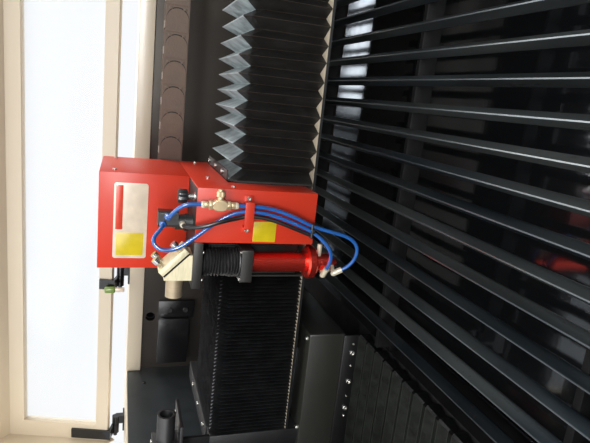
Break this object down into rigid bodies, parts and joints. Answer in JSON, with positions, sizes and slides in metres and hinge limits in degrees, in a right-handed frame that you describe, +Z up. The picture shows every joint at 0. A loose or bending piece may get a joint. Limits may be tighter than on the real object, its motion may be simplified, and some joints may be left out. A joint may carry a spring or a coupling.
{
  "type": "carbon dioxide laser cutting machine",
  "caption": "Flatbed laser cutter with a slatted bed, pleated way covers, a moving gantry, a red cutting head with air tubes, a scrap drawer and a windowed lid held open.",
  "frame": {"origin": "on the floor under the middle of the machine's box", "axes": "+X along the gantry to the operator's right, +Y from the operator to the rear, +Z up"},
  "size_m": [2.34, 1.7964, 2.5221],
  "materials": {
    "cream_paint": "satin",
    "black_sheet": "gloss",
    "red_paint": "satin",
    "anodised_red": "satin",
    "anodised_black": "matte",
    "steel": "satin",
    "aluminium": "satin",
    "knob_brass": "satin",
    "black_fabric": "matte",
    "black_rubber": "matte",
    "chain_plastic": "matte",
    "cream_plastic": "gloss",
    "red_plastic": "gloss",
    "blue_tube": "gloss",
    "tube_glass": "gloss",
    "clear_window": "gloss"
  },
  "bodies": {
    "cabinet": {"base_frame": "steel", "levelling_feet": "black_rubber", "left_panel": "cream_paint", "right_panel": "cream_paint", "front_panel": "cream_paint", "rear_panel": "cream_paint", "inner_liners": "black_sheet", "rear_beam": "cream_paint", "rear_wall": "black_sheet", "junction_box": "black_sheet", "laser_tube": "tube_glass", "tube_stands": "black_sheet", "first_mirror": "aluminium", "rail_beds": "steel", "y_rails": "steel", "y_covers": "black_fabric", "knife_slats": "steel", "cross_bars": "steel", "control_panel": "cream_paint", "fixed_hinges": "black_sheet"},
    "drawer": {"scrap_tray": "black_sheet"},
    "stop_button": {"emergency_stop": "red_plastic"},
    "gantry": {"gantry_beam": "aluminium", "end_boxes": "black_sheet", "y_carriages": "steel", "end_housings": "black_sheet", "gantry_ledge": "cream_paint", "x_cover_left": "black_fabric", "x_cover_right": "black_fabric", "mirror_two": "black_sheet", "x_chain": "chain_plastic"},
    "head": {"saddle": "aluminium", "head_flanges": "aluminium", "head_column": "aluminium", "shelf_plate": "anodised_black", "lower_cover": "red_paint", "upper_cover": "red_paint", "mirror_block": "aluminium", "mirror_slab": "aluminium", "beam_inlet": "aluminium", "tube_gland": "black_sheet", "flow_valve": "aluminium", "tube_strap": "red_paint", "lens_bellows": "black_rubber", "air_tube_short": "blue_tube", "air_tube_left": "blue_tube", "air_tube_right": "blue_tube", "sensor_cable": "black_rubber"},
    "screw_upper": {"adjusting_screw_upper": "knob_brass"},
    "screw_rear": {"adjusting_screw_rear": "knob_brass"},
    "screw_lower": {"adjusting_screw_lower": "knob_brass"},
    "cover_knob": {"clamp_knob": "black_sheet"},
    "air_knob": {"valve_knob": "knob_brass"},
    "lens_column": {"lower_plate": "anodised_black", "lens_tube": "anodised_red", "nozzle": "anodised_red", "tube_fittings": "cream_plastic"},
    "lid": {"lid_frame": "cream_paint", "lid_windows": "clear_window", "lid_fittings": "black_sheet"}
  },
  "joints": [
    {"name": "drawer_slide", "type": "slide", "parent": "cabinet", "child": "drawer", "axis": [0, -1, 0], "range_m": [0, 0.6]},
    {"name": "stop_press", "type": "slide", "parent": "cabinet", "child": "stop_button", "axis": [0, 1, 0], "range_m": [0, 0.006], "stiffness_N_per_m": 800},
    {"name": "gantry_travel", "type": "slide", "parent": "cabinet", "child": "gantry", "axis": [0, 1, 0], "range_m": [-0.75, 0.13], "deforming": ["y_covers"]},
    {"name": "head_travel", "type": "slide", "parent": "gantry", "child": "head", "axis": [1, 0, 0], "range_m": [-0.1, 1.14], "deforming": ["x_cover_left", "x_cover_right", "x_chain"]},
    {"name": "focus_travel", "type": "slide", "parent": "head", "child": "lens_column", "axis": [0, 0, 1], "range_m": [-0.03, 0.03], "deforming": ["lens_bellows", "air_tube_left", "air_tube_right"]},
    {"name": "screw_upper_turn", "type": "hinge", "parent": "head", "child": "screw_upper", "pos_m": [-0.52073, 0.16415, 1.21973], "axis": [0.7071, 0, 0.7071], "range_deg": [-180, 180]},
    {"name": "screw_rear_turn", "type": "hinge", "parent": "head", "child": "screw_rear", "pos_m": [-0.52073, 0.19215, 1.21973], "axis": [0.7071, 0, 0.7071], "range_deg": [-180, 180]},
    {"name": "screw_lower_turn", "type": "hinge", "parent": "head", "child": "screw_lower", "pos_m": [-0.49527, 0.16415, 1.19427], "axis": [0.7071, 0, 0.7071], "range_deg": [-180, 180]},
    {"name": "cover_knob_turn", "type": "hinge", "parent": "head", "child": "cover_knob", "pos_m": [-0.403, 0.16815, 1.184], "axis": [0, 0, 1], "range_deg": [-180, 180]},
    {"name": "air_knob_turn", "type": "hinge", "parent": "head", "child": "air_knob", "pos_m": [-0.397, 0.14015, 1.1515], "axis": [1, 0, 0], "range_deg": [-180, 180]},
    {"name": "lid_hinge", "type": "hinge", "parent": "cabinet", "child": "lid", "pos_m": [0, 0.69515, 1.284], "axis": [1, 0, 0], "range_deg": [0, 53.7]}
  ]
}
